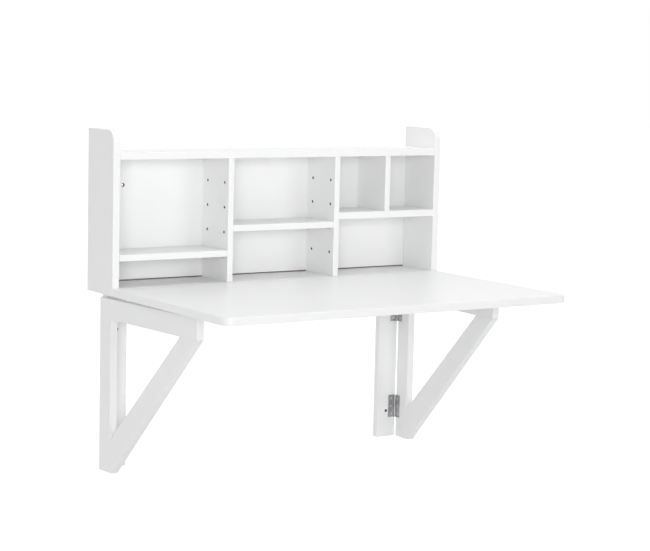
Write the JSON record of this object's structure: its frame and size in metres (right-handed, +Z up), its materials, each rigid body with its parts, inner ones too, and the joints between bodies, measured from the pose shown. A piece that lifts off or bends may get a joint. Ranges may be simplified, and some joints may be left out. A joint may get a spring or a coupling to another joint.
{
  "type": "fold down wall desk",
  "caption": "White wall desk with a pigeonhole shelf unit, a hinged drop leaf and swinging triangular brackets that fold flat against the wall.",
  "frame": {"origin": "wall plane, midway between the two wall-fixing holes in the back panel", "axes": "+X to the right along the wall, +Y into the wall along the wall-fixing holes, +Z up"},
  "size_m": [1, 0.698, 0.874],
  "materials": {
    "white_lacquer": "white lacquered board, satin gloss",
    "hinge_steel": "plain steel",
    "peg_steel": "nickel plated",
    "beech": "bare beech",
    "rubber": "grey rubber"
  },
  "bodies": {
    "wall_unit": {"side_panel_left": "white_lacquer", "side_panel_right": "white_lacquer", "top_board": "white_lacquer", "bottom_board": "white_lacquer", "divider_left": "white_lacquer", "divider_right": "white_lacquer", "short_divider": "white_lacquer", "fixed_shelf": "white_lacquer", "shelf_left": "white_lacquer", "shelf_middle": "white_lacquer", "back_panel": "white_lacquer", "post_left": "white_lacquer", "post_right": "white_lacquer", "post_hinge_plates_left": "hinge_steel", "post_hinge_plates_right": "hinge_steel", "post_hinge_pins": "hinge_steel", "post_hinge_screws": "hinge_steel", "leaf_hinge_fixed_plates": "hinge_steel", "leaf_hinge_fixed_screws": "hinge_steel", "leaf_hinge_pins": "hinge_steel", "shelf_pegs": "peg_steel", "case_dowels": "beech"},
    "desk_leaf": {"leaf_board": "white_lacquer", "leaf_hinge_moving_plates": "hinge_steel", "leaf_hinge_moving_screws": "hinge_steel"},
    "left_bracket": {"bracket_upright_left": "white_lacquer", "bracket_arm_left": "white_lacquer", "bracket_brace_left": "white_lacquer", "bracket_hinge_plates_left": "hinge_steel", "bracket_hinge_screws_left": "hinge_steel", "bracket_dowels_left": "beech", "bracket_buffer_left": "rubber"},
    "right_bracket": {"bracket_upright_right": "white_lacquer", "bracket_arm_right": "white_lacquer", "bracket_brace_right": "white_lacquer", "bracket_hinge_plates_right": "hinge_steel", "bracket_hinge_screws_right": "hinge_steel", "bracket_dowels_right": "beech", "bracket_buffer_right": "rubber"}
  },
  "joints": [
    {"name": "leaf_lift", "type": "hinge", "parent": "wall_unit", "child": "desk_leaf", "pos_m": [0, -0.141, -0.2693], "axis": [-1, 0, 0], "range_deg": [0, 4]},
    {"name": "left_bracket_swing", "type": "hinge", "parent": "wall_unit", "child": "left_bracket", "pos_m": [-0.453, -0.0233, -0.5045], "axis": [0, 0, 1], "range_deg": [-4.1, 85.9]},
    {"name": "right_bracket_swing", "type": "hinge", "parent": "wall_unit", "child": "right_bracket", "pos_m": [0.453, -0.0233, -0.5045], "axis": [0, 0, -1], "range_deg": [-2.1, 87.9]}
  ]
}
